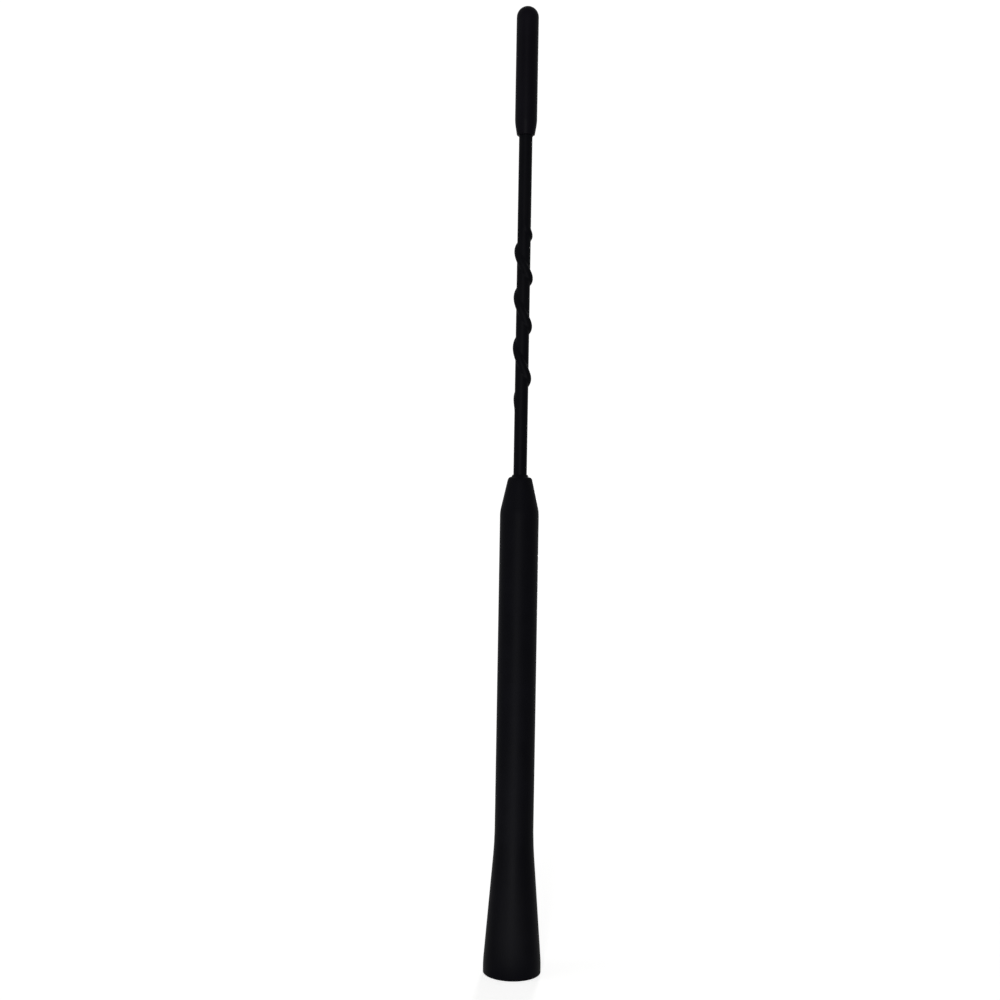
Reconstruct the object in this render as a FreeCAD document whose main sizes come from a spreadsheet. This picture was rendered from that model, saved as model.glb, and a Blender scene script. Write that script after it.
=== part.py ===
import FreeCAD, Part
import math
import os

import Sketcher

# Screw-on whip mast of a car's roof antenna, in millimetres.
# The origin is the centre of the foot's rim, and +Z runs up the mast to its tip.
# A brass insert in the foot screws onto the roof base. A copper winding on an insulating former
# links the insert to the spring steel whip, and moulded rubber covers all of them.

SIZES = {
    # whole mast
    "mast_length": "266",
    "fit_clearance": "0.05",
    # rubber sleeve
    "foot_diameter": "15.9",
    "foot_land_height": "3.2",
    "foot_edge_chamfer": "0.3",
    "flare_height": "36",
    "sleeve_diameter": "10.7",
    "sleeve_height": "136.4",
    "shoulder_length": "9.6",
    "shoulder_top_diameter": "6.4",
    "shoulder_edge_radius": "0.9",
    "whip_lip_height": "0.6",
    "whip_lip_width": "0.5",
    "whip_lip_edge": "0.15",
    "sleeve_top_wall": "14",
    "rim_recess_depth": "1",
    "rim_recess_margin": "0.7",
    # brass insert
    "insert_flats": "8",
    "insert_hex_height": "9",
    "insert_corner_chamfer": "0.5",
    "insert_neck_level": "3.5",
    "insert_neck_width": "2",
    "insert_neck_diameter": "6.2",
    "insert_web": "2",
    "thread_diameter": "4.2",
    "thread_depth": "10.5",
    "thread_chamfer": "0.5",
    "drill_point_angle": "118",
    # insulating former and copper winding
    "former_diameter": "4",
    "former_socket_depth": "5",
    "wire_width": "0.8",
    # brass ferrule
    "ferrule_web": "2",
    "crimp_width": "1.2",
    "crimp_depth": "0.3",
    "crimp_level": "3",
    # steel whip and its rubber sheath
    "core_diameter": "2.4",
    "core_socket_depth": "7",
    "sheath_diameter": "3.7",
    # spiral ridge of the sheath
    "spiral_rise": "26",
    "spiral_start_angle": "180",
    "spiral_turns": "4.45",
    "spiral_pitch": "11",
    "spiral_pitch_gain": "0.56",
    "spiral_lean": "0.86",
    "spiral_lean_angle": "-43",
    "spiral_height": "0.78",
    "spiral_round": "1.2",
    "spiral_top_runout": "0.8",
    "spiral_foot_runout": "0.9",
    "spiral_sink": "0.2",
    # rubber tip cap
    "cap_length": "35.6",
    "cap_diameter": "6.1",
    "cap_mouth_diameter": "4.9",
    "cap_mouth_chamfer": "0.3",
    "cap_taper_length": "3.6",
    "cap_end_wall": "5.6",
}

# Levels and radii that several pieces share. Bodies stand at a level and are drawn from there up.
HEX_CORNER = "(sizes.insert_flats / sqrt(3))"
RECESS_RADIUS = f"({HEX_CORNER} + sizes.rim_recess_margin)"
DRILL_TOP = "(sizes.thread_depth + sizes.thread_diameter / 2 / tan(sizes.drill_point_angle / 2 * 1 deg))"
INSERT_SOCKET = f"({DRILL_TOP} + sizes.insert_web)"
INSERT_LENGTH = f"({INSERT_SOCKET} + sizes.former_socket_depth)"
FERRULE_LENGTH = "(sizes.former_socket_depth + sizes.ferrule_web + sizes.core_socket_depth)"
ROOM_TOP = "(sizes.sleeve_height - sizes.sleeve_top_wall)"
COIL_FOOT = f"(sizes.rim_recess_depth + {INSERT_LENGTH})"
COIL_TOP = f"({ROOM_TOP} - {FERRULE_LENGTH})"
WIRE_INNER = "(sizes.former_diameter / 2 + sizes.fit_clearance)"
BARREL_RADIUS = f"({WIRE_INNER} + sizes.wire_width)"
ROOM_RADIUS = f"({BARREL_RADIUS} + sizes.fit_clearance)"
CORE_HOLE = "(sizes.core_diameter / 2 + sizes.fit_clearance)"
SHEATH_HOLE = "(sizes.sheath_diameter / 2 + sizes.fit_clearance)"
CAP_FOOT = "(sizes.mast_length - sizes.cap_length)"
WHIP_TOP = "(sizes.mast_length - sizes.cap_end_wall)"
SPIRAL_TOP = f"((sizes.sleeve_height + {CAP_FOOT}) / 2 + sizes.spiral_rise)"

FULL_TURN = 360
HEX_SIDES = 6
SKETCH_ROOT = -1
LINE_START = 1
LINE_END = 2
POINTS_PER_TURN = 16
CUTTING_FEATURES = ("PartDesign::Groove", "PartDesign::Pocket")

doc = FreeCAD.newDocument("roof_antenna_mast")
sizes = doc.addObject("Spreadsheet::Sheet", "sizes")
for row, (alias, size_text) in enumerate(SIZES.items(), start=1):
    sizes.set(f"A{row}", alias)
    sizes.set(f"B{row}", size_text)
    sizes.setAlias(f"B{row}", alias)
doc.recompute()


def number(expression):
    """What an expression of the sizes comes to."""
    return float(sizes.evalExpression(expression))


def new_body(label, level="0"):
    """An empty body whose own origin stands at a level of the mast."""
    body = doc.addObject("PartDesign::Body", label)
    body.Label = label
    body.setExpression("Placement.Base.z", level)
    return body


def hold(sketch, direction, line, expression):
    """Ties a line's start to the sketch's root along one direction."""
    distance = Sketcher.Constraint(direction, SKETCH_ROOT, LINE_START, line, LINE_START, number(expression))
    sketch.setExpression(f"Constraints[{sketch.addConstraint(distance)}]", expression)


def attach(item, body, role, level):
    """Lays an item on one of the body's own planes, raised to a level."""
    plane = next(feature for feature in body.Origin.OriginFeatures if feature.Role == role)
    item.AttachmentSupport = [(plane, "")]
    item.MapMode = "FlatFace"
    item.setExpression("AttachmentOffset.Base.z", level)


def draw(body, name, role, loops, level="0"):
    """Closed outlines on one of the body's planes, with every corner bound to the sizes."""
    sketch = body.newObject("Sketcher::SketchObject", name)
    attach(sketch, body, role, level)
    for corners in loops:
        first = sketch.GeometryCount
        spots = [FreeCAD.Vector(number(across), number(up), 0) for across, up in corners]
        for start, end in zip(spots, spots[1:] + spots[:1]):
            sketch.addGeometry(Part.LineSegment(start, end), False)
        for index, (across, up) in enumerate(corners):
            line = first + index
            following = first + (index + 1) % len(corners)
            sketch.addConstraint(Sketcher.Constraint("Coincident", line, LINE_END, following, LINE_START))
            hold(sketch, "DistanceX", line, across)
            hold(sketch, "DistanceY", line, up)
    return sketch


def turn(body, name, loops, kind="PartDesign::Revolution"):
    """Half sections, given as radii and heights, turned about the mast's axis."""
    feature = body.newObject(kind, name)
    feature.Profile = draw(body, f"{name}_outline", "XZ_Plane", loops)
    feature.ReferenceAxis = (feature.Profile[0], ["V_Axis"])
    feature.Angle = FULL_TURN
    doc.recompute()
    return feature


def ring(inner, outer, low, high):
    """Half section of a plain ring."""
    return [(inner, low), (outer, low), (outer, high), (inner, high)]


def hexagon(corner):
    """Corners of a hexagon whose flats face along the sketch's second axis."""
    angles = [f"{FULL_TURN / HEX_SIDES * side} deg" for side in range(HEX_SIDES)]
    return [(f"{corner} * cos({angle})", f"{corner} * sin({angle})") for angle in angles]


def round_off(body, name, base, radius, height, rounding):
    """Rounds the circular edge of the base that has the given radius and height."""
    found = []
    for index, edge in enumerate(base.Shape.Edges, start=1):
        circle = edge.Curve
        if not isinstance(circle, Part.Circle):
            continue
        at_height = math.isclose(circle.Center.z, number(height), abs_tol=base.Shape.getTolerance(0))
        at_radius = math.isclose(circle.Radius, number(radius), abs_tol=base.Shape.getTolerance(0))
        if at_height and at_radius:
            found.append(f"Edge{index}")
    fillet = body.newObject("PartDesign::Fillet", name)
    fillet.Base = (base, found)
    fillet.setExpression("Radius", rounding)
    doc.recompute()
    return fillet


def cylinder(name, radius, length, level="0"):
    """A plain cylinder that stands at a level of the mast."""
    piece = doc.addObject("Part::Cylinder", name)
    piece.setExpression("Radius", radius)
    piece.setExpression("Height", length)
    piece.setExpression("Placement.Base.z", level)
    return piece


def mast_sleeve():
    """Moulded rubber: flared foot, straight grip and coned shoulder, with a lip that hugs the whip."""
    body = new_body("mast_sleeve")
    shoulder_foot = "sizes.sleeve_height - sizes.shoulder_length"
    lip_top = "sizes.sleeve_height + sizes.whip_lip_height"
    wall = [
        ("sizes.foot_diameter / 2 - sizes.foot_edge_chamfer", "0"),
        ("sizes.foot_diameter / 2", "sizes.foot_edge_chamfer"),
        ("sizes.foot_diameter / 2", "sizes.foot_land_height"),
        ("sizes.sleeve_diameter / 2", "sizes.flare_height"),
        ("sizes.sleeve_diameter / 2", shoulder_foot),
        ("sizes.shoulder_top_diameter / 2", "sizes.sleeve_height"),
        (f"{SHEATH_HOLE} + sizes.whip_lip_width", "sizes.sleeve_height"),
        (f"{SHEATH_HOLE} + sizes.whip_lip_edge", lip_top),
        (SHEATH_HOLE, lip_top),
        (SHEATH_HOLE, ROOM_TOP),
        (ROOM_RADIUS, ROOM_TOP),
        (ROOM_RADIUS, "sizes.rim_recess_depth"),
        (RECESS_RADIUS, "sizes.rim_recess_depth"),
        (RECESS_RADIUS, "0"),
    ]
    moulding = turn(body, "moulding", [wall])
    top_edge = ("sizes.shoulder_top_diameter / 2", "sizes.sleeve_height")
    round_off(body, "rounded_shoulder", moulding, *top_edge, "sizes.shoulder_edge_radius")

    hex_corner = f"({HEX_CORNER} + sizes.fit_clearance)"
    seat = body.newObject("PartDesign::Pocket", "insert_seat")
    seat.Profile = draw(body, "seat_outline", "XY_Plane", [hexagon(hex_corner)], "sizes.rim_recess_depth")
    seat.Reversed = True
    seat.setExpression("Length", "sizes.insert_hex_height")
    doc.recompute()

    neck_foot = "sizes.rim_recess_depth + sizes.insert_neck_level"
    key = ring(
        "sizes.insert_neck_diameter / 2 + sizes.fit_clearance",
        RECESS_RADIUS,
        f"{neck_foot} + sizes.fit_clearance",
        f"{neck_foot} + sizes.insert_neck_width - sizes.fit_clearance",
    )
    turn(body, "neck_key", [key])
    return body


def threaded_insert():
    """Brass from hexagon bar: tapped from below, necked so that the rubber grips it, turned down above."""
    body = new_body("threaded_insert", "sizes.rim_recess_depth")
    bar = body.newObject("PartDesign::Pad", "hexagon_bar")
    bar.Profile = draw(body, "bar_outline", "XY_Plane", [hexagon(HEX_CORNER)])
    bar.setExpression("Length", "sizes.insert_hex_height")
    doc.recompute()
    turn(body, "barrel", [ring("0", BARREL_RADIUS, "sizes.insert_hex_height", INSERT_LENGTH)])

    corner_bevel = [
        (f"{HEX_CORNER} - sizes.insert_corner_chamfer", "0"),
        (HEX_CORNER, "0"),
        (HEX_CORNER, "sizes.insert_corner_chamfer"),
    ]
    neck_top = "sizes.insert_neck_level + sizes.insert_neck_width"
    neck = ring("sizes.insert_neck_diameter / 2", HEX_CORNER, "sizes.insert_neck_level", neck_top)
    turn(body, "neck_and_bevel", [corner_bevel, neck], "PartDesign::Groove")

    tapped_hole = [
        ("0", "0"),
        ("sizes.thread_diameter / 2 + sizes.thread_chamfer", "0"),
        ("sizes.thread_diameter / 2", "sizes.thread_chamfer"),
        ("sizes.thread_diameter / 2", "sizes.thread_depth"),
        ("0", DRILL_TOP),
    ]
    turn(body, "tapped_hole", [tapped_hole], "PartDesign::Groove")
    socket = ring("0", WIRE_INNER, INSERT_SOCKET, INSERT_LENGTH)
    turn(body, "former_socket", [socket], "PartDesign::Groove")
    return body


def coil_former():
    """Insulating rod with its ends in the sockets of both brass pieces."""
    foot = f"(sizes.rim_recess_depth + {INSERT_SOCKET})"
    length = f"{COIL_TOP} + sizes.former_socket_depth - {foot}"
    return cylinder("coil_former", "sizes.former_diameter / 2", length, foot)


def loading_coil():
    """Copper wire wound close in one layer on the former, from the insert's face to the ferrule's."""
    body = new_body("loading_coil", COIL_FOOT)
    turn(body, "winding", [ring(WIRE_INNER, BARREL_RADIUS, "0", f"{COIL_TOP} - {COIL_FOOT}")])
    return body


def whip_ferrule():
    """Turned brass: the former's socket below, the whip's above, closed on the whip by a crimped ring."""
    body = new_body("whip_ferrule", COIL_TOP)
    web_top = "(sizes.former_socket_depth + sizes.ferrule_web)"
    section = [
        (WIRE_INNER, "0"),
        (BARREL_RADIUS, "0"),
        (BARREL_RADIUS, FERRULE_LENGTH),
        (CORE_HOLE, FERRULE_LENGTH),
        (CORE_HOLE, web_top),
        ("0", web_top),
        ("0", "sizes.former_socket_depth"),
        (WIRE_INNER, "sizes.former_socket_depth"),
    ]
    turn(body, "turned_ferrule", [section])
    crimp_floor = f"{BARREL_RADIUS} - sizes.crimp_depth"
    crimp_foot = f"{web_top} + sizes.crimp_level"
    crimp = ring(crimp_floor, BARREL_RADIUS, crimp_foot, f"{crimp_foot} + sizes.crimp_width")
    turn(body, "crimp", [crimp], "PartDesign::Groove")
    return body


def whip_core():
    """Spring steel wire from the ferrule's socket to the end of the tip cap's bore."""
    foot = f"({ROOM_TOP} - sizes.core_socket_depth)"
    return cylinder("whip_core", "sizes.core_diameter / 2", f"{WHIP_TOP} - {foot}", foot)


def eased(share):
    """Smooth step from 0 to 1."""
    share = min(max(share, 0), 1)
    return share * share * (3 - 2 * share)


def spiral_point(turns):
    """Centre of the ridge's round section, so many turns from its top end.

    The turns widen a little on the way down and lean to one side, as on a strand wound by hand. At both
    ends the ridge sinks into the wall over its run-out.
    """
    angle = 2 * math.pi * turns + math.radians(sizes.spiral_start_angle)
    level = number(f"{SPIRAL_TOP} - {ROOM_TOP}")
    level -= sizes.spiral_pitch * turns + sizes.spiral_pitch_gain * turns ** 2
    level -= sizes.spiral_lean * math.cos(angle - math.radians(sizes.spiral_lean_angle))
    from_foot = sizes.spiral_turns - turns
    shown = eased(turns / sizes.spiral_top_runout) * eased(from_foot / sizes.spiral_foot_runout)
    crest = sizes.spiral_height * shown - sizes.spiral_sink * (1 - shown)
    reach = sizes.sheath_diameter / 2 + crest - sizes.spiral_round
    return FreeCAD.Vector(reach * math.cos(angle), reach * math.sin(angle), level)


def spiral_ridge():
    """Round bead wound left-handed along the sheath."""
    steps = math.ceil(sizes.spiral_turns * POINTS_PER_TURN)
    points = [spiral_point(sizes.spiral_turns * step / steps) for step in range(steps + 1)]
    curve = Part.BSplineCurve()
    curve.interpolate(points)
    section = Part.makeCircle(sizes.spiral_round, points[0], curve.tangent(curve.FirstParameter)[0])
    ridge = doc.addObject("Part::Feature", "spiral_ridge")
    ridge.Shape = Part.Wire(curve.toShape()).makePipeShell([Part.Wire(section)], True, False)
    return ridge


def whip_sheath():
    """Rubber tube over the steel whip, with the spiral ridge that breaks up wind noise."""
    length = f"({WHIP_TOP} - {ROOM_TOP})"
    ribbed = doc.addObject("Part::Fuse", "ribbed_sheath")
    ribbed.Base = cylinder("plain_sheath", "sizes.sheath_diameter / 2", length)
    ribbed.Tool = spiral_ridge()
    sheath = doc.addObject("Part::Cut", "whip_sheath")
    sheath.Base = ribbed
    sheath.Tool = cylinder("core_bore", CORE_HOLE, length)
    sheath.setExpression("Placement.Base.z", ROOM_TOP)
    doc.recompute()
    return sheath


def tip_cap():
    """Moulded rubber cap: tapered mouth, straight wall and domed end, blind bore for the whip."""
    body = new_body("tip_cap", CAP_FOOT)
    dome_foot = "(sizes.cap_length - sizes.cap_diameter / 2)"
    wall = [
        ("0", "0"),
        ("sizes.cap_mouth_diameter / 2 - sizes.cap_mouth_chamfer", "0"),
        ("sizes.cap_mouth_diameter / 2", "sizes.cap_mouth_chamfer"),
        ("sizes.cap_diameter / 2", "sizes.cap_taper_length"),
        ("sizes.cap_diameter / 2", dome_foot),
        ("0", dome_foot),
    ]
    turn(body, "cap_wall", [wall])
    dome = body.newObject("PartDesign::AdditiveSphere", "dome")
    attach(dome, body, "XY_Plane", dome_foot)
    dome.setExpression("Radius", "sizes.cap_diameter / 2")
    dome.Angle1 = 0
    doc.recompute()
    bore = ring("0", SHEATH_HOLE, "0", "sizes.cap_length - sizes.cap_end_wall")
    turn(body, "whip_bore", [bore], "PartDesign::Groove")
    return body


parts = [
    mast_sleeve(),
    threaded_insert(),
    coil_former(),
    loading_coil(),
    whip_ferrule(),
    whip_core(),
    whip_sheath(),
    tip_cap(),
]
doc.recompute()

for item in doc.Objects:
    if {"Invalid", "Error"} & set(item.State):
        raise RuntimeError(f"{item.Label} failed to compute")
    if item.TypeId in CUTTING_FEATURES and item.Shape.Volume >= item.BaseFeature.Shape.Volume:
        raise RuntimeError(f"{item.Label} cuts nothing")
for part in parts:
    if part.Shape.isNull() or not part.Shape.isValid() or len(part.Shape.Solids) != 1:
        raise RuntimeError(f"{part.Label} is not one valid solid")

os.makedirs("parts", exist_ok=True)
for part in parts:
    part.Shape.exportStep(f"parts/{part.Label}.step")
    print(part.Label, round(part.Shape.Volume, 1), "mm3")
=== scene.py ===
"""Looks of a screw-on roof antenna mast: rubber mouldings, turned brass, wound copper and drawn steel.

Lengths are in millimetres until a mesh is finished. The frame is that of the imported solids: the foot's
rim lies at height 0 on the axis, the mast points up, and the viewer stands on the -Y side.
"""

import logging
import math
from abc import ABC, abstractmethod
from collections.abc import Mapping, Sequence
from dataclasses import dataclass
from enum import Enum
from typing import Any

import bmesh
import bpy
import numpy as np
from mathutils import Matrix, Vector


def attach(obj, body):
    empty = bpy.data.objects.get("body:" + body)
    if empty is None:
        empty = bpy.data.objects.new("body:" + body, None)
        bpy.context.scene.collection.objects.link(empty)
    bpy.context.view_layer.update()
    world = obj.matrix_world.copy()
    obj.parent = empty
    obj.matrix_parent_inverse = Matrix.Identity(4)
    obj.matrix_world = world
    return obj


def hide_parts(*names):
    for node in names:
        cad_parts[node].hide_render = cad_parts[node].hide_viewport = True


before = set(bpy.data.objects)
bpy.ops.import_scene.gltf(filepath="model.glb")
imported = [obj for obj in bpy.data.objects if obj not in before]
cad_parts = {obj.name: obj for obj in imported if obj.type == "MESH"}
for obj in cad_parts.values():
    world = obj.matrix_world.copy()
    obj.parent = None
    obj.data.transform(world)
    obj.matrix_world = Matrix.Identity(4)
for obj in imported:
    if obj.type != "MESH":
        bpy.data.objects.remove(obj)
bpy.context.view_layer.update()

LOG = logging.getLogger("roof_antenna")
BODY = "root"
# Metres in a millimetre, and the distance in millimetres below which two points are one.
MM = 0.001
MERGE_MM = 1e-4
HEXAGON_SIDES = 6
# Faces across an eased corner.
EASING_SEGMENTS = 8
# Angle through which a wave texture runs in one unit at a scale of 1.
WAVE_RATE = 20.0
# Range that holds nearly all values of a noise texture.
NOISE_LOW, NOISE_HIGH = 0.3, 0.7
# Places of the two colours and of the result among the sockets of a colour mix.
MIX_FIRST, MIX_SECOND, MIX_RESULT = 6, 7, 2


class Slot(Enum):
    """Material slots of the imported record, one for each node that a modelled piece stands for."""

    SLEEVE = "sleeve_rubber"
    SHEATH = "sheath_rubber"
    CAP = "cap_rubber"
    BRASS = "brass"
    COPPER = "copper"


class Lay(Enum):
    """Way in which the marks of a worked surface run."""

    TURNED = "round the axis"
    DRAWN = "along the axis"


def linear(hex_colour: str) -> tuple[float, float, float, float]:
    """Turns an sRGB colour into the linear one that shaders take.

    Args:
        hex_colour: The colour as "#rrggbb".

    Returns:
        Linear red, green and blue, and an alpha of 1.
    """
    shares = [int(hex_colour[start:start + 2], 16) / 255 for start in (1, 3, 5)]
    red, green, blue = [
        share / 12.92 if share <= 0.04045 else ((share + 0.055) / 1.055) ** 2.4 for share in shares
    ]
    return red, green, blue, 1.0


def per_mm(length: float) -> float:
    """Texture scale whose pattern repeats about once in a length given in millimetres."""
    return 1 / (length * MM)


def add_node(
    tree: bpy.types.NodeTree,
    kind: str,
    options: Mapping[str, Any] | None = None,
    inputs: Mapping[str | int, Any] | None = None,
) -> bpy.types.Node:
    """Adds a node with its settings and links.

    Args:
        tree: Node tree that takes the node.
        kind: Blender's name for the type of node.
        options: Values for the node's own properties.
        inputs: A value, or an output to link, for each input by its name or index.

    Returns:
        The new node.
    """
    node = tree.nodes.new(kind)
    for option, value in (options or {}).items():
        setattr(node, option, value)
    for key, value in (inputs or {}).items():
        if isinstance(value, bpy.types.NodeSocket):
            tree.links.new(value, node.inputs[key])
        else:
            node.inputs[key].default_value = value
    return node


class Finish(ABC):
    """A real material and the way its surface was made.

    Attributes:
        name: Name of the material.
    """

    name: str

    def material(self) -> bpy.types.Material:
        """Makes the material, or gives the one made before.

        Returns:
            The Blender material of this finish.
        """
        known = bpy.data.materials.get(self.name)
        if known is not None:
            return known
        made = bpy.data.materials.new(self.name)
        made.use_nodes = True
        tree = made.node_tree
        tree.nodes.clear()
        place = add_node(tree, "ShaderNodeTexCoord").outputs["Object"]
        surface = self.surface(tree, place)
        add_node(tree, "ShaderNodeOutputMaterial", inputs={"Surface": surface})
        return made

    @abstractmethod
    def surface(self, tree: bpy.types.NodeTree, place: bpy.types.NodeSocket) -> bpy.types.NodeSocket:
        """Adds the nodes that describe the surface.

        Args:
            tree: Node tree of the material.
            place: Object coordinates of the shaded point, in metres.

        Returns:
            The shader output.
        """


@dataclass(frozen=True)
class MouldedRubber(Finish):
    """EPDM rubber filled with carbon black, pressed in a spark-eroded mould.

    Attributes:
        skin: Colour of the clean rubber.
        bloom: Colour where wax has come to the surface.
        smooth: Least roughness.
        rough: Greatest roughness.
        specular: Level of the reflection.
        ior: Index of refraction.
        grain_mm: Size of the grain that the mould leaves.
        grain_height_mm: Height of that grain.
        cloud_mm: Size of the clouds of bloom.
        bloom_start: Level of the clouds from which bloom shows.
        bloom_full: Level of the clouds from which it covers.
        seam_width_mm: Width of the mould's parting line.
        seam_height_mm: Height of that line.
    """

    name: str
    skin: str
    bloom: str
    smooth: float
    rough: float
    specular: float = 0.015
    ior: float = 1.5
    grain_mm: float = 0.45
    grain_height_mm: float = 0.02
    cloud_mm: float = 22.0
    bloom_start: float = 0.38
    bloom_full: float = 0.72
    seam_width_mm: float = 0.3
    seam_height_mm: float = 0.05

    def surface(self, tree: bpy.types.NodeTree, place: bpy.types.NodeSocket) -> bpy.types.NodeSocket:
        """Adds the nodes that describe the surface.

        Args:
            tree: Node tree of the material.
            place: Object coordinates of the shaded point, in metres.

        Returns:
            The shader output.
        """
        # The eye sees a near-black skin with a weak, broad sheen, broken by the mould's fine grain.
        # Real erosion grain is about 0.1 mm and would not show, so it is drawn four times as coarse.
        grain = add_node(
            tree,
            "ShaderNodeTexNoise",
            inputs={"Vector": place, "Scale": per_mm(self.grain_mm), "Detail": 3.0, "Roughness": 0.6},
        ).outputs["Fac"]
        cloud = add_node(
            tree,
            "ShaderNodeTexNoise",
            inputs={"Vector": place, "Scale": per_mm(self.cloud_mm), "Detail": 4.0, "Roughness": 0.62},
        ).outputs["Fac"]
        veil = add_node(
            tree,
            "ShaderNodeMapRange",
            {"interpolation_type": "SMOOTHSTEP"},
            {"Value": cloud, "From Min": self.bloom_start, "From Max": self.bloom_full},
        ).outputs["Result"]
        colour = add_node(
            tree,
            "ShaderNodeMix",
            {"data_type": "RGBA"},
            {"Factor": veil, MIX_FIRST: linear(self.skin), MIX_SECOND: linear(self.bloom)},
        ).outputs[MIX_RESULT]
        dullness = add_node(
            tree,
            "ShaderNodeMapRange",
            inputs={
                "Value": cloud,
                "From Min": NOISE_LOW,
                "From Max": NOISE_HIGH,
                "To Min": self.smooth,
                "To Max": self.rough,
            },
        ).outputs["Result"]
        # The mould's halves part on the plane through the axis that faces the viewer, so the fine line
        # that this leaves runs down the two sides.
        across = add_node(tree, "ShaderNodeSeparateXYZ", inputs={"Vector": place}).outputs["Y"]
        off_seam = add_node(tree, "ShaderNodeMath", {"operation": "ABSOLUTE"}, {0: across}).outputs["Value"]
        seam = add_node(
            tree,
            "ShaderNodeMapRange",
            {"interpolation_type": "SMOOTHSTEP"},
            {
                "Value": off_seam,
                "From Min": 0.0,
                "From Max": self.seam_width_mm / 2 * MM,
                "To Min": self.seam_height_mm * MM,
                "To Max": 0.0,
            },
        ).outputs["Result"]
        relief = add_node(
            tree,
            "ShaderNodeMath",
            {"operation": "MULTIPLY_ADD"},
            {0: grain, 1: self.grain_height_mm * MM, 2: seam},
        ).outputs["Value"]
        bump = add_node(
            tree, "ShaderNodeBump", inputs={"Height": relief, "Strength": 1.0, "Distance": 1.0}
        ).outputs["Normal"]
        return add_node(
            tree,
            "ShaderNodeBsdfPrincipled",
            inputs={
                "Base Color": colour,
                "Roughness": dullness,
                "Normal": bump,
                "IOR": self.ior,
                "Specular IOR Level": self.specular,
            },
        ).outputs["BSDF"]


@dataclass(frozen=True)
class WorkedMetal(Finish):
    """Metal with the marks of the tool or die that shaped it, bare or under clear enamel.

    Attributes:
        bright: Colour of the clean metal.
        dull: Colour of the stained metal.
        lay: Way in which the marks run.
        smooth: Least roughness.
        rough: Greatest roughness.
        mark_mm: Distance between the marks.
        mark_height_mm: Height of the marks.
        draw_squeeze: Factor on heights that draws the marks of a die out along the axis.
        stain_mm: Size of the stains.
        coat: Weight of the enamel.
    """

    name: str
    bright: str
    dull: str
    lay: Lay
    smooth: float
    rough: float
    mark_mm: float
    mark_height_mm: float = 0.004
    draw_squeeze: float = 0.015
    stain_mm: float = 2.5
    coat: float = 0.0

    def surface(self, tree: bpy.types.NodeTree, place: bpy.types.NodeSocket) -> bpy.types.NodeSocket:
        """Adds the nodes that describe the surface.

        Args:
            tree: Node tree of the material.
            place: Object coordinates of the shaded point, in metres.

        Returns:
            The shader output.
        """
        # The eye sees fine parallel marks that stretch the reflections, and a thin stain of age.
        # Real turning marks are about 0.1 mm apart and would not show, so they are drawn coarser.
        if self.lay is Lay.TURNED:
            marks = add_node(
                tree,
                "ShaderNodeTexWave",
                {"wave_type": "RINGS", "rings_direction": "SPHERICAL"},
                {
                    "Vector": place,
                    "Scale": per_mm(self.mark_mm) * math.tau / WAVE_RATE,
                    "Distortion": 0.4,
                    "Detail": 2.0,
                },
            ).outputs["Fac"]
        else:
            drawn = add_node(
                tree,
                "ShaderNodeMapping",
                inputs={"Vector": place, "Scale": (1.0, 1.0, self.draw_squeeze)},
            ).outputs["Vector"]
            marks = add_node(
                tree,
                "ShaderNodeTexNoise",
                inputs={"Vector": drawn, "Scale": per_mm(self.mark_mm), "Detail": 3.0, "Roughness": 0.6},
            ).outputs["Fac"]
        stain = add_node(
            tree,
            "ShaderNodeTexNoise",
            inputs={"Vector": place, "Scale": per_mm(self.stain_mm), "Detail": 5.0, "Roughness": 0.6},
        ).outputs["Fac"]
        colour = add_node(
            tree,
            "ShaderNodeMix",
            {"data_type": "RGBA"},
            {"Factor": stain, MIX_FIRST: linear(self.bright), MIX_SECOND: linear(self.dull)},
        ).outputs[MIX_RESULT]
        dullness = add_node(
            tree,
            "ShaderNodeMapRange",
            inputs={
                "Value": stain,
                "From Min": NOISE_LOW,
                "From Max": NOISE_HIGH,
                "To Min": self.smooth,
                "To Max": self.rough,
            },
        ).outputs["Result"]
        bump = add_node(
            tree,
            "ShaderNodeBump",
            inputs={"Height": marks, "Strength": 1.0, "Distance": self.mark_height_mm * MM},
        ).outputs["Normal"]
        return add_node(
            tree,
            "ShaderNodeBsdfPrincipled",
            inputs={
                "Base Color": colour,
                "Metallic": 1.0,
                "Roughness": dullness,
                "Normal": bump,
                "Coat Weight": self.coat,
            },
        ).outputs["BSDF"]


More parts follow.
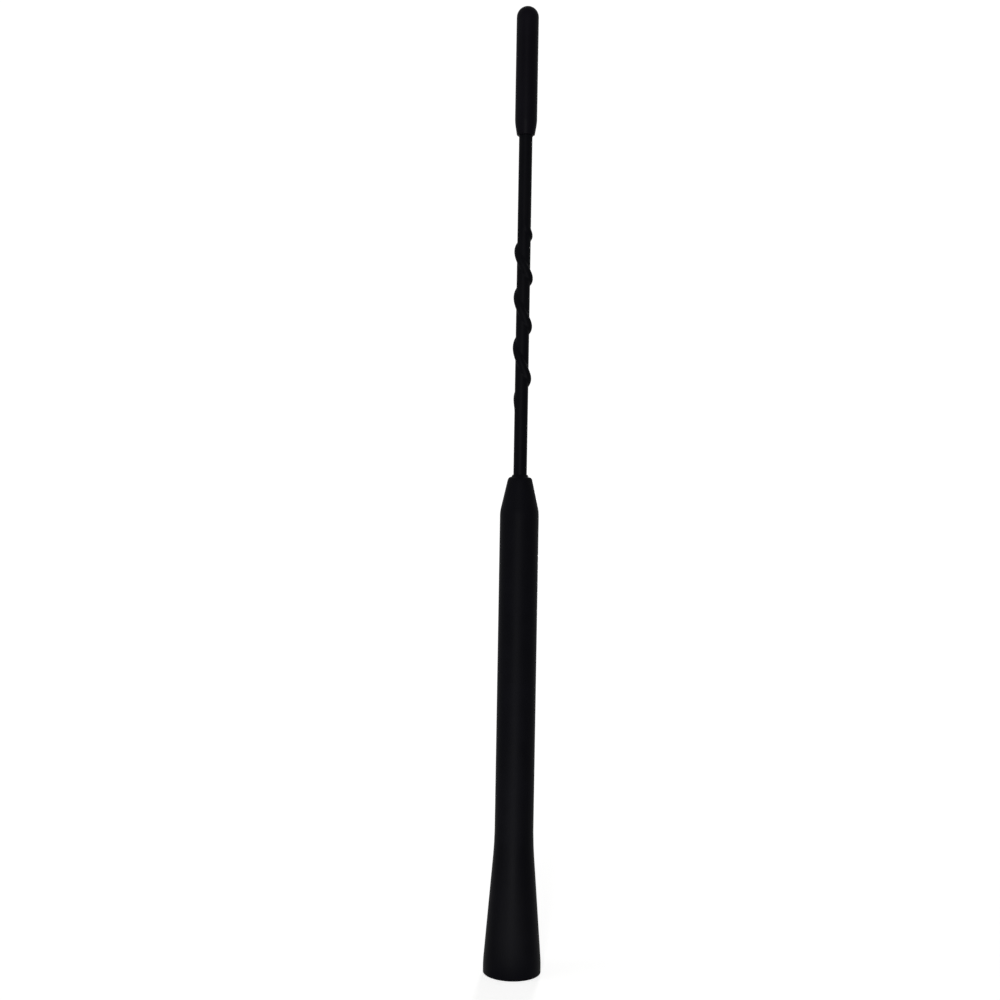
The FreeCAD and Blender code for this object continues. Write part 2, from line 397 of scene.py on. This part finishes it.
@dataclass(frozen=True)
class DrawnRod(Finish):
    """Glass-fibre rod drawn through a die, with its fibres along the axis.

    Attributes:
        resin: Colour of the resin.
        fibre: Colour of the fibres.
        fibre_mm: Width of a bundle of fibres.
        fibre_height_mm: Height of a bundle under the skin of resin.
        show_through: How much of that height the skin shows.
        draw_squeeze: Factor on heights that draws the bundles out along the axis.
        roughness: Roughness of the skin.
        ior: Index of refraction.
    """

    name: str
    resin: str
    fibre: str
    fibre_mm: float = 0.25
    fibre_height_mm: float = 0.01
    show_through: float = 0.6
    draw_squeeze: float = 0.02
    roughness: float = 0.45
    ior: float = 1.52

    def surface(self, tree: bpy.types.NodeTree, place: bpy.types.NodeSocket) -> bpy.types.NodeSocket:
        """Adds the nodes that describe the surface.

        Args:
            tree: Node tree of the material.
            place: Object coordinates of the shaded point, in metres.

        Returns:
            The shader output.
        """
        # The eye sees pale threads under a cloudy resin. Single fibres would not show, so bundles are drawn.
        drawn = add_node(
            tree, "ShaderNodeMapping", inputs={"Vector": place, "Scale": (1.0, 1.0, self.draw_squeeze)}
        ).outputs["Vector"]
        threads = add_node(
            tree,
            "ShaderNodeTexNoise",
            inputs={"Vector": drawn, "Scale": per_mm(self.fibre_mm), "Detail": 4.0, "Roughness": 0.65},
        ).outputs["Fac"]
        colour = add_node(
            tree,
            "ShaderNodeMix",
            {"data_type": "RGBA"},
            {"Factor": threads, MIX_FIRST: linear(self.resin), MIX_SECOND: linear(self.fibre)},
        ).outputs[MIX_RESULT]
        bump = add_node(
            tree,
            "ShaderNodeBump",
            inputs={
                "Height": threads,
                "Strength": self.show_through,
                "Distance": self.fibre_height_mm * MM,
            },
        ).outputs["Normal"]
        return add_node(
            tree,
            "ShaderNodeBsdfPrincipled",
            inputs={"Base Color": colour, "Roughness": self.roughness, "IOR": self.ior, "Normal": bump},
        ).outputs["BSDF"]


SLEEVE_RUBBER = MouldedRubber("moulded_sleeve_rubber", "#07070a", "#0b0b0f", 0.44, 0.56)
SHEATH_RUBBER = MouldedRubber("moulded_sheath_rubber", "#07070a", "#0b0b0e", 0.44, 0.56, grain_mm=0.35)
CAP_RUBBER = MouldedRubber("moulded_cap_rubber", "#0a090d", "#0e0d12", 0.38, 0.5)
TURNED_BRASS = WorkedMetal(
    "turned_brass", "#d0a552", "#9a7433", Lay.TURNED, 0.2, 0.38, mark_mm=0.4, mark_height_mm=0.012
)
WOUND_COPPER = WorkedMetal(
    "enamelled_copper_wire", "#b4562b", "#8a3d1d", Lay.TURNED, 0.16, 0.28, mark_mm=0.4, coat=0.6
)
SPRING_STEEL = WorkedMetal(
    "drawn_spring_steel", "#9b9c9f", "#6f7073", Lay.DRAWN, 0.28, 0.42, mark_mm=0.15
)
FORMER_ROD = DrawnRod("drawn_glass_fibre_rod", "#c9c1a0", "#e3dec8")


@dataclass(frozen=True)
class Corner:
    """A corner of a half section.

    Attributes:
        radius: Distance from the axis.
        height: Height above the foot's rim.
        easing: How far back along both sides the corner's rounding starts.
    """

    radius: float
    height: float
    easing: float = 0.0


@dataclass(frozen=True)
class Band:
    """An upright stretch of a half section that needs finer rows than the rest.

    Attributes:
        low: Height where the stretch starts.
        high: Height where it ends.
        radius: Distance from the axis.
        row: Height of its rows.
    """

    low: float
    high: float
    radius: float
    row: float

    def holds(self, side: bmesh.types.BMEdge) -> bool:
        """Tells whether a side of the half section lies in this stretch.

        Args:
            side: Edge in the plane of the half section.

        Returns:
            True if both of its ends are inside.
        """
        return all(
            self.low - MERGE_MM < end.co.z < self.high + MERGE_MM
            and abs(end.co.x - self.radius) < MERGE_MM
            for end in side.verts
        )


def turned(
    corners: Sequence[Corner], closed: bool, steps: int, row: float = 2.0, fine: Band | None = None
) -> bmesh.types.BMesh:
    """Turns a half section round the mast's axis.

    Args:
        corners: The section's corners in order.
        closed: Whether the last corner joins the first. An open section ends on the axis.
        steps: Number of divisions round the axis.
        row: Greatest height of a row of faces.
        fine: Stretch with rows of its own.

    Returns:
        A closed mesh whose faces point outwards.
    """
    mesh = bmesh.new()
    dots = [mesh.verts.new((corner.radius, 0.0, corner.height)) for corner in corners]
    for dot, follower in zip(dots, dots[1:] + dots[:1] if closed else dots[1:]):
        mesh.edges.new((dot, follower))
    for dot, corner in zip(dots, corners):
        if corner.easing:
            bmesh.ops.bevel(
                mesh,
                geom=[dot],
                offset=corner.easing,
                offset_type="OFFSET",
                segments=EASING_SEGMENTS,
                profile=0.5,
                affect="VERTICES",
                material=-1,
            )
    for side in mesh.edges[:]:
        longest = fine.row if fine and fine.holds(side) else row
        cuts = math.ceil(side.calc_length() / longest) - 1
        if cuts > 0:
            bmesh.ops.subdivide_edges(mesh, edges=[side], cuts=cuts)
    bmesh.ops.spin(
        mesh,
        geom=mesh.verts[:] + mesh.edges[:],
        cent=(0.0, 0.0, 0.0),
        axis=(0.0, 0.0, 1.0),
        angle=math.tau,
        steps=steps,
        use_merge=True,
    )
    bmesh.ops.remove_doubles(mesh, verts=mesh.verts, dist=MERGE_MM)
    bmesh.ops.recalc_face_normals(mesh, faces=mesh.faces)
    return mesh


def set_radius(vert: bmesh.types.BMVert, radius: float) -> None:
    """Moves a vertex straight out from or in towards the mast's axis."""
    flat = vert.co.xy.normalized() * radius
    vert.co.x, vert.co.y = flat.x, flat.y


def smooth_run(share: np.ndarray) -> np.ndarray:
    """Runs from 0 to 1, flat at both ends, while the share does.

    Args:
        share: Shares of the run, which may lie beyond its ends.

    Returns:
        A level from 0 to 1 for each share.
    """
    held = np.clip(share, 0.0, 1.0)
    return held**2 * (3 - 2 * held)


def hexagon_radius(angle: float, half_width: float) -> float:
    """Distance from the axis to a hexagon whose corner lies at angle 0.

    Args:
        angle: Direction seen from the axis, in radians.
        half_width: Half the distance across the hexagon's flats.

    Returns:
        The distance, in the unit of half_width.
    """
    sector = math.tau / HEXAGON_SIDES
    return half_width / math.cos(angle % sector - sector / 2)


class Piece(ABC):
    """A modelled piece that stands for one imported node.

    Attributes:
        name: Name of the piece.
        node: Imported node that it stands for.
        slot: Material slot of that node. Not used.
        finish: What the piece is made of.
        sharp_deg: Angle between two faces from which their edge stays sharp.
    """

    name: str
    node: str
    slot: Slot
    finish: Finish
    sharp_deg: float = 32.0

    @abstractmethod
    def shape(self) -> bmesh.types.BMesh:
        """Models the piece.

        Returns:
            A closed mesh in millimetres.
        """

    def build(self) -> bpy.types.Object:
        """Models and dresses the piece and sets it on the frame.

        Returns:
            The finished object, at the origin, unturned and unscaled.
        """
        shape = self.shape()
        bmesh.ops.scale(shape, vec=(MM, MM, MM), verts=shape.verts)
        mesh = bpy.data.meshes.new(self.name)
        shape.to_mesh(mesh)
        shape.free()
        mesh.shade_smooth()
        mesh.set_sharp_from_angle(angle=math.radians(self.sharp_deg))
        mesh.materials.append(self.finish.material())
        piece = bpy.data.objects.new(self.name, mesh)
        bpy.context.scene.collection.objects.link(piece)
        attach(piece, BODY)
        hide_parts(self.node)
        return piece


@dataclass
class RubberSleeve(Piece):
    """Flared grip of the mast, moulded over the insert, the winding and the ferrule."""

    name: str = "rubber_sleeve"
    node: str = "mast_sleeve"
    slot: Slot = Slot.SLEEVE
    finish: Finish = SLEEVE_RUBBER
    steps: int = 144
    foot_radius: float = 7.95
    foot_land: float = 3.2
    flare_top: float = 36.0
    grip_radius: float = 5.35
    shoulder_foot: float = 126.8
    shoulder_radius: float = 3.2
    top: float = 136.4
    whip_hole: float = 1.9
    lip_height: float = 0.6
    lip_width: float = 0.5
    lip_edge: float = 0.15
    room_radius: float = 2.9
    room_top: float = 122.4
    recess_radius: float = 5.319
    recess_depth: float = 1.0
    seat_half_width: float = 4.043
    seat_top: float = 10.0
    key_radius: float = 3.15
    key_foot: float = 4.55
    key_top: float = 6.45
    rim_easing: float = 0.3
    land_easing: float = 1.2
    flare_easing: float = 4.0
    shoulder_easing: float = 0.9
    top_easing: float = 0.85
    lip_root_easing: float = 0.2
    lip_easing: float = 0.1
    recess_easing: float = 0.2

    def shape(self) -> bmesh.types.BMesh:
        """Turns the wall, then presses the insert's seat into a hexagon.

        Returns:
            A closed mesh in millimetres.
        """
        seat = hexagon_radius(0.0, self.seat_half_width)
        lip_top = self.top + self.lip_height
        mesh = turned(
            [
                Corner(self.foot_radius, 0.0, self.rim_easing),
                Corner(self.foot_radius, self.foot_land, self.land_easing),
                Corner(self.grip_radius, self.flare_top, self.flare_easing),
                Corner(self.grip_radius, self.shoulder_foot, self.shoulder_easing),
                Corner(self.shoulder_radius, self.top, self.top_easing),
                Corner(self.whip_hole + self.lip_width, self.top, self.lip_root_easing),
                Corner(self.whip_hole + self.lip_edge, lip_top, self.lip_easing),
                Corner(self.whip_hole, lip_top),
                Corner(self.whip_hole, self.room_top),
                Corner(self.room_radius, self.room_top),
                Corner(self.room_radius, self.seat_top),
                Corner(seat, self.seat_top),
                Corner(seat, self.key_top),
                Corner(self.key_radius, self.key_top),
                Corner(self.key_radius, self.key_foot),
                Corner(seat, self.key_foot),
                Corner(seat, self.recess_depth),
                Corner(self.recess_radius, self.recess_depth),
                Corner(self.recess_radius, 0.0, self.recess_easing),
            ],
            closed=True,
            steps=self.steps,
        )
        for vert in mesh.verts:
            inside = vert.co.z < self.seat_top + MERGE_MM
            if inside and abs(vert.co.xy.length - seat) < MERGE_MM:
                angle = math.atan2(vert.co.y, vert.co.x)
                set_radius(vert, hexagon_radius(angle, self.seat_half_width))
        return mesh


@dataclass
class WhipSheath(Piece):
    """Rubber skin of the steel whip, with the spiral ridge that breaks up wind noise."""

    name: str = "ridged_sheath"
    node: str = "whip_sheath"
    slot: Slot = Slot.SHEATH
    finish: Finish = SHEATH_RUBBER
    steps: int = 96
    radius: float = 1.85
    bore: float = 1.25
    foot: float = 122.4
    top: float = 260.4
    plain_row: float = 4.0
    ridge_row: float = 0.2
    start_level: float = 209.4
    start_deg: float = 180.0
    turns: float = 4.45
    pitch: float = 11.0
    pitch_gain: float = 0.56
    lean: float = 0.86
    lean_deg: float = -43.0
    ridge_height: float = 0.78
    bead_radius: float = 1.2
    top_runout: float = 0.8
    foot_runout: float = 0.9
    sink: float = 0.2
    root_easing: float = 0.25
    samples_per_turn: int = 120
    batch: int = 2000

    def bead(self) -> np.ndarray:
        """Traces the middle of the ridge's round section, left-handed from its top end down.

        Returns:
            One row of x, y and height for each sample.
        """
        turn = np.linspace(0.0, self.turns, round(self.turns * self.samples_per_turn))
        angle = math.tau * turn + math.radians(self.start_deg)
        level = self.start_level - self.pitch * turn - self.pitch_gain * turn**2
        level -= self.lean * np.cos(angle - math.radians(self.lean_deg))
        shown = smooth_run(turn / self.top_runout) * smooth_run((self.turns - turn) / self.foot_runout)
        crest = self.ridge_height * shown - self.sink * (1 - shown)
        reach = self.radius + crest - self.bead_radius
        return np.column_stack((reach * np.cos(angle), reach * np.sin(angle), level))

    def ridge_reach(self, spots: np.ndarray, bead: np.ndarray) -> np.ndarray:
        """Finds how far the bead reaches from the axis towards each of some points.

        Args:
            spots: One row of x, y and height for each point.
            bead: Middle of the ridge, as bead() gives it.

        Returns:
            The reach for each point, or 0 where the bead doesn't lie that way.
        """
        facing = spots[:, :2] / np.linalg.norm(spots[:, :2], axis=1, keepdims=True)
        along = facing @ bead[:, :2].T
        chord = along**2 - (bead[:, :2] ** 2).sum(axis=1) + self.bead_radius**2
        chord -= (spots[:, 2:] - bead[:, 2]) ** 2
        met = (chord > 0.0) & (along > 0.0)
        return np.where(met, along + np.sqrt(np.maximum(chord, 0.0)), 0.0).max(axis=1)

    def shape(self) -> bmesh.types.BMesh:
        """Turns the tube and raises the ridge on it.

        Returns:
            A closed mesh in millimetres.
        """
        bead = self.bead()
        low = float(bead[:, 2].min()) - self.bead_radius
        high = float(bead[:, 2].max()) + self.bead_radius
        mesh = turned(
            [
                Corner(self.bore, self.foot),
                Corner(self.radius, self.foot),
                Corner(self.radius, low),
                Corner(self.radius, high),
                Corner(self.radius, self.top),
                Corner(self.bore, self.top),
            ],
            closed=True,
            steps=self.steps,
            row=self.plain_row,
            fine=Band(low, high, self.radius, self.ridge_row),
        )
        skin = [
            vert
            for vert in mesh.verts
            if low < vert.co.z < high and vert.co.xy.length > self.radius - MERGE_MM
        ]
        for start in range(0, len(skin), self.batch):
            verts = skin[start:start + self.batch]
            reaches = self.ridge_reach(np.array([vert.co for vert in verts]), bead)
            # The tube and the bead meet in a soft hollow, not in a crease.
            for vert, reach in zip(verts, reaches):
                blend = max(self.root_easing - abs(reach - self.radius), 0.0) / self.root_easing
                set_radius(vert, max(reach, self.radius) + blend**2 * self.root_easing / 4)
        return mesh


@dataclass
class TipCap(Piece):
    """Rubber cap over the whip's end, with a tapered mouth and a round top."""

    name: str = "rubber_tip_cap"
    node: str = "tip_cap"
    slot: Slot = Slot.CAP
    finish: Finish = CAP_RUBBER
    steps: int = 112
    foot: float = 230.4
    top: float = 266.0
    radius: float = 3.05
    mouth_radius: float = 2.45
    taper: float = 3.6
    bore: float = 1.9
    bore_top: float = 260.4
    bore_easing: float = 0.12
    mouth_easing: float = 0.3
    taper_easing: float = 0.9
    crown_flat: float = 0.05

    def shape(self) -> bmesh.types.BMesh:
        """Turns the cap's wall from the end of its bore to the middle of its dome.

        Returns:
            A closed mesh in millimetres.
        """
        return turned(
            [
                Corner(0.0, self.bore_top),
                Corner(self.bore, self.bore_top),
                Corner(self.bore, self.foot, self.bore_easing),
                Corner(self.mouth_radius, self.foot, self.mouth_easing),
                Corner(self.radius, self.foot + self.taper, self.taper_easing),
                Corner(self.radius, self.top, self.radius - self.crown_flat),
                Corner(0.0, self.top),
            ],
            closed=False,
            steps=self.steps,
        )


@dataclass
class ThreadedInsert(Piece):
    """Brass foot insert from hexagon bar, with the metric thread that takes the roof base's stud.

    The thread's crest and root are shares of its pitch.
    """

    name: str = "tapped_brass_insert"
    node: str = "threaded_insert"
    slot: Slot = Slot.BRASS
    finish: Finish = TURNED_BRASS
    steps: int = 120
    half_width: float = 4.0
    foot: float = 1.0
    hex_top: float = 10.0
    top: float = 19.762
    corner_bevel: float = 0.5
    edge_easing: float = 0.1
    neck_foot: float = 4.5
    neck_top: float = 6.5
    neck_radius: float = 3.1
    barrel_radius: float = 2.85
    socket_radius: float = 2.05
    socket_foot: float = 14.762
    hole_radius: float = 2.1
    mouth_chamfer: float = 0.5
    thread_top: float = 11.5
    drill_tip: float = 12.762
    thread_pitch: float = 0.8
    thread_depth: float = 0.4
    thread_crest: float = 0.25
    thread_root: float = 0.125
    thread_row: float = 0.05

    def shape(self) -> bmesh.types.BMesh:
        """Turns the insert, cuts its thread and mills its flats.

        Returns:
            A closed mesh in millimetres.
        """
        corner = hexagon_radius(0.0, self.half_width)
        mouth_top = self.foot + self.mouth_chamfer
        mesh = turned(
            [
                Corner(0.0, self.drill_tip),
                Corner(self.hole_radius, self.thread_top),
                Corner(self.hole_radius, mouth_top),
                Corner(self.hole_radius + self.mouth_chamfer, self.foot),
                Corner(corner - self.corner_bevel, self.foot),
                Corner(corner, self.foot + self.corner_bevel),
                Corner(corner, self.neck_foot, self.edge_easing),
                Corner(self.neck_radius, self.neck_foot),
                Corner(self.neck_radius, self.neck_top),
                Corner(corner, self.neck_top, self.edge_easing),
                Corner(corner, self.hex_top, self.edge_easing),
                Corner(self.barrel_radius, self.hex_top),
                Corner(self.barrel_radius, self.top, self.edge_easing),
                Corner(self.socket_radius, self.top),
                Corner(self.socket_radius, self.socket_foot),
                Corner(0.0, self.socket_foot),
            ],
            closed=False,
            steps=self.steps,
            fine=Band(mouth_top, self.thread_top, self.hole_radius, self.thread_row),
        )
        self.cut_thread(mesh)
        self.mill_flats(mesh)
        return mesh

    def cut_thread(self, mesh: bmesh.types.BMesh) -> None:
        """Sinks a right-handed thread into the wall of the hole.

        Args:
            mesh: The turned insert.
        """
        bore = self.hole_radius + self.mouth_chamfer - MERGE_MM
        flank_share = (1 - self.thread_crest - self.thread_root) / 2
        for vert in mesh.verts:
            if vert.co.xy.length > bore or not self.foot < vert.co.z < self.thread_top - MERGE_MM:
                continue
            turn = math.atan2(vert.co.y, vert.co.x) / math.tau
            share = (vert.co.z / self.thread_pitch - turn) % 1.0
            from_crest = min(share, 1 - share) - self.thread_crest / 2
            flank = min(max(from_crest / flank_share, 0.0), 1.0)
            runout = min((self.thread_top - vert.co.z) / self.thread_pitch, 1.0)
            root = self.hole_radius + self.thread_depth * flank * runout
            set_radius(vert, max(vert.co.xy.length, root))

    def mill_flats(self, mesh: bmesh.types.BMesh) -> None:
        """Cuts the six flats of the hexagon bar and closes the wall there.

        Args:
            mesh: The turned insert.
        """
        for side in range(HEXAGON_SIDES):
            angle = math.tau * (side + 0.5) / HEXAGON_SIDES
            facing = Vector((math.cos(angle), math.sin(angle), 0.0))
            bmesh.ops.bisect_plane(
                mesh,
                geom=mesh.verts[:] + mesh.edges[:] + mesh.faces[:],
                dist=MERGE_MM,
                plane_co=facing * self.half_width,
                plane_no=facing,
                clear_outer=True,
            )
            open_edges = [edge for edge in mesh.edges if edge.is_boundary]
            bmesh.ops.holes_fill(mesh, edges=open_edges, sides=0)
        bmesh.ops.recalc_face_normals(mesh, faces=mesh.faces)


@dataclass
class LoadingCoil(Piece):
    """Enamelled copper wire, wound close in one layer between the two brass pieces.

    The wire's width includes the hair's breadth between two turns.
    """

    name: str = "copper_winding"
    node: str = "loading_coil"
    slot: Slot = Slot.COPPER
    finish: Finish = WOUND_COPPER
    foot: float = 19.762
    top: float = 108.4
    wire: float = 0.8
    wire_fill: float = 0.98
    middle_radius: float = 2.45
    turns: int = 109
    wire_sides: int = 8
    steps_per_turn: int = 24

    def shape(self) -> bmesh.types.BMesh:
        """Winds one turn of round wire and repeats it from the foot to the top.

        Returns:
            A closed mesh in millimetres.
        """
        mesh = bmesh.new()
        pitch = (self.top - self.foot - self.wire) / self.turns
        start = Matrix.Translation((self.middle_radius, 0.0, self.foot + self.wire / 2))
        start @= Matrix.Rotation(math.tau / 4, 4, "X")
        radius = self.wire * self.wire_fill / 2
        bmesh.ops.create_circle(mesh, segments=self.wire_sides, radius=radius, matrix=start)
        bmesh.ops.spin(
            mesh,
            geom=mesh.verts[:] + mesh.edges[:],
            cent=(0.0, 0.0, 0.0),
            axis=(0.0, 0.0, 1.0),
            dvec=(0.0, 0.0, pitch / self.steps_per_turn),
            angle=math.tau,
            steps=self.steps_per_turn,
        )
        turn = mesh.verts[:] + mesh.edges[:] + mesh.faces[:]
        for number in range(1, self.turns):
            copied = bmesh.ops.duplicate(mesh, geom=turn)["geom"]
            verts = [item for item in copied if isinstance(item, bmesh.types.BMVert)]
            bmesh.ops.translate(mesh, vec=(0.0, 0.0, number * pitch), verts=verts)
        bmesh.ops.remove_doubles(mesh, verts=mesh.verts, dist=MERGE_MM)
        ends = [edge for edge in mesh.edges if edge.is_boundary]
        bmesh.ops.holes_fill(mesh, edges=ends, sides=0)
        bmesh.ops.recalc_face_normals(mesh, faces=mesh.faces)
        return mesh


@dataclass(frozen=True)
class CarriedNode:
    """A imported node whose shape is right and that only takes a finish.

    Attributes:
        node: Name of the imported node.
        finish: What it is made of.
    """

    node: str
    finish: Finish

    def dress(self) -> bpy.types.Object:
        """Puts the finish on the node's own mesh slots.

        Returns:
            The node's object.
        """
        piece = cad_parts[self.node]
        if not piece.material_slots:
            piece.data.materials.append(None)
        for place in piece.material_slots:
            place.material = self.finish.material()
        return piece


@dataclass(frozen=True)
class Softbox:
    """A rectangular lamp of the studio.

    Attributes:
        name: Name of the lamp.
        place: Where it hangs, in metres.
        size: Its width and height, in metres.
        watts: Its power.
        aim: Point that it faces, by default the middle of the mast.
        gloss_only: Whether it shows in reflections alone.
    """

    name: str
    place: tuple[float, float, float]
    size: tuple[float, float]
    watts: float
    aim: tuple[float, float, float] = (0.0, 0.0, 0.13)
    gloss_only: bool = False

    def hang(self) -> bpy.types.Object:
        """Hangs the lamp.

        Returns:
            The lamp's object.
        """
        light = bpy.data.lights.new(self.name, "AREA")
        light.shape = "RECTANGLE"
        light.size, light.size_y = self.size
        light.energy = self.watts
        lamp = bpy.data.objects.new(self.name, light)
        place = Vector(self.place)
        lamp.location = place
        lamp.rotation_euler = (Vector(self.aim) - place).to_track_quat("-Z", "Y").to_euler()
        lamp.visible_diffuse = not self.gloss_only
        bpy.context.scene.collection.objects.link(lamp)
        return lamp


# The card on the table gives the lower half its sheen without lighting it.
SOFTBOXES = (
    Softbox("strip_softbox", (-0.11, -0.95, 0.17), (0.09, 0.4), 6.2),
    Softbox("side_softbox", (-0.9, -0.3, 0.5), (0.5, 0.9), 1.7),
    Softbox("rear_softbox", (0.12, 1.0, 0.3), (0.12, 0.56), 6.0),
    Softbox("table_card", (-0.02, -0.24, 0.001), (0.1, 0.44), 0.95, (-0.02, -0.24, 1.001), gloss_only=True),
)


@dataclass
class Studio:
    """White table and surroundings, soft lamps and the camera.

    Attributes:
        sky: Strength of the surroundings as a light.
        backdrop: Strength that the camera sees of the surroundings.
        floor_white: Colour of the table's paint.
        floor_lift: Strength that the camera sees on the floor on top of its lit colour.
        floor_size: Length of the table's sides, in metres.
        floor_drop: Gap under the foot that keeps the two from flickering, in metres.
        lamps: The lamps round the object.
        lens_mm: Focal length of the camera.
        sensor_mm: Width of its sensor.
        nearest: Distance from the camera at which things start to show, in metres.
        eye_distance: Distance of the camera from the mast's axis, in metres.
        eye_height: Height of the camera, in metres.
        eye_offset: Distance from the axis to the middle of the view, in metres.
        eye_roll_deg: Lean of the camera to the left.
    """

    sky: float = 0.2
    backdrop: float = 1.05
    floor_white: str = "#c8c8c7"
    floor_lift: float = 0.74
    floor_size: float = 0.56
    floor_drop: float = 0.00005
    lamps: tuple[Softbox, ...] = SOFTBOXES
    lens_mm: float = 50.0
    sensor_mm: float = 36.0
    nearest: float = 0.01
    eye_distance: float = 0.38265
    eye_height: float = 0.12995
    eye_offset: float = -0.00541
    eye_roll_deg: float = 0.974

    def seen_directly(self, tree: bpy.types.NodeTree) -> bpy.types.NodeSocket:
        """Adds a switch for rays that show the surroundings instead of lighting the object.

        Args:
            tree: Node tree that takes the switch.

        Returns:
            An output that is 1 for camera, glossy and transmission rays, and 0 for the rest.
        """
        path = add_node(tree, "ShaderNodeLightPath").outputs
        mirrored = add_node(
            tree,
            "ShaderNodeMath",
            {"operation": "MAXIMUM"},
            {0: path["Is Glossy Ray"], 1: path["Is Transmission Ray"]},
        ).outputs["Value"]
        return add_node(
            tree, "ShaderNodeMath", {"operation": "MAXIMUM"}, {0: path["Is Camera Ray"], 1: mirrored}
        ).outputs["Value"]

    def surround(self) -> None:
        """Makes the white surroundings, which light the object more weakly than they look."""
        world = bpy.data.worlds.new("white_studio")
        world.use_nodes = True
        tree = world.node_tree
        tree.nodes.clear()
        white = (1.0, 1.0, 1.0, 1.0)
        light = add_node(tree, "ShaderNodeBackground", inputs={"Color": white, "Strength": self.sky})
        shown = add_node(tree, "ShaderNodeBackground", inputs={"Color": white, "Strength": self.backdrop})
        mix = add_node(
            tree,
            "ShaderNodeMixShader",
            inputs={0: self.seen_directly(tree), 1: light.outputs[0], 2: shown.outputs[0]},
        )
        add_node(tree, "ShaderNodeOutputWorld", inputs={"Surface": mix.outputs[0]})
        bpy.context.scene.world = world

    def lay_floor(self) -> bpy.types.Object:
        """Lays a matt white table top under the foot.

        Returns:
            The floor's object.
        """
        material = bpy.data.materials.new("matt_white_table")
        material.use_nodes = True
        tree = material.node_tree
        tree.nodes.clear()
        paint = add_node(tree, "ShaderNodeBsdfDiffuse", inputs={"Color": linear(self.floor_white)})
        lift = add_node(
            tree,
            "ShaderNodeMath",
            {"operation": "MULTIPLY"},
            {0: self.seen_directly(tree), 1: self.floor_lift},
        )
        glow = add_node(tree, "ShaderNodeEmission", inputs={"Strength": lift.outputs[0]})
        both = add_node(tree, "ShaderNodeAddShader", inputs={0: paint.outputs[0], 1: glow.outputs[0]})
        # From below the table is clear, so that the insert can be looked at.
        under = add_node(tree, "ShaderNodeNewGeometry").outputs["Backfacing"]
        clear = add_node(tree, "ShaderNodeBsdfTransparent")
        top = add_node(
            tree, "ShaderNodeMixShader", inputs={0: under, 1: both.outputs[0], 2: clear.outputs[0]}
        )
        add_node(tree, "ShaderNodeOutputMaterial", inputs={"Surface": top.outputs[0]})
        shape = bmesh.new()
        bmesh.ops.create_grid(shape, x_segments=1, y_segments=1, size=self.floor_size / 2)
        bmesh.ops.translate(shape, vec=(0.0, 0.0, -self.floor_drop), verts=shape.verts)
        mesh = bpy.data.meshes.new("floor")
        shape.to_mesh(mesh)
        shape.free()
        mesh.materials.append(material)
        floor = bpy.data.objects.new("floor", mesh)
        bpy.context.scene.collection.objects.link(floor)
        return floor

    def set_camera(self) -> bpy.types.Object:
        """Sets the camera in front of the mast, level, and leaned as the photograph was.

        Returns:
            The camera's object.
        """
        data = bpy.data.cameras.new("camera")
        data.lens = self.lens_mm
        data.sensor_width = self.sensor_mm
        data.dof.use_dof = False
        data.clip_start = self.nearest
        camera = bpy.data.objects.new("camera", data)
        turn = Matrix.Rotation(math.radians(-self.eye_roll_deg), 4, "Y")
        turn @= Matrix.Rotation(math.tau / 4, 4, "X")
        place = Matrix.Translation((self.eye_offset, -self.eye_distance, self.eye_height))
        camera.matrix_world = place @ turn
        bpy.context.scene.collection.objects.link(camera)
        bpy.context.scene.camera = camera
        return camera

    def set_up(self) -> None:
        """Makes the whole studio."""
        bpy.context.scene.view_settings.view_transform = "Standard"
        self.surround()
        self.lay_floor()
        for lamp in self.lamps:
            lamp.hang()
        self.set_camera()


def main() -> None:
    """Builds the mast from its foot up, then the studio round it."""
    logging.basicConfig(level=logging.INFO, format="%(name)s: %(message)s")
    pieces: list[Piece] = [RubberSleeve(), ThreadedInsert(), LoadingCoil(), WhipSheath(), TipCap()]
    for piece in pieces:
        made = piece.build()
        LOG.info("%s stands for %s with %d faces", made.name, piece.node, len(made.data.polygons))
    carried = [
        CarriedNode("coil_former", FORMER_ROD),
        CarriedNode("whip_ferrule", TURNED_BRASS),
        CarriedNode("whip_core", SPRING_STEEL),
    ]
    for node in carried:
        LOG.info("%s is finished in %s", node.dress().name, node.finish.name)
    Studio().set_up()
    LOG.info("studio set up")


if __name__ == "__main__":
    main()
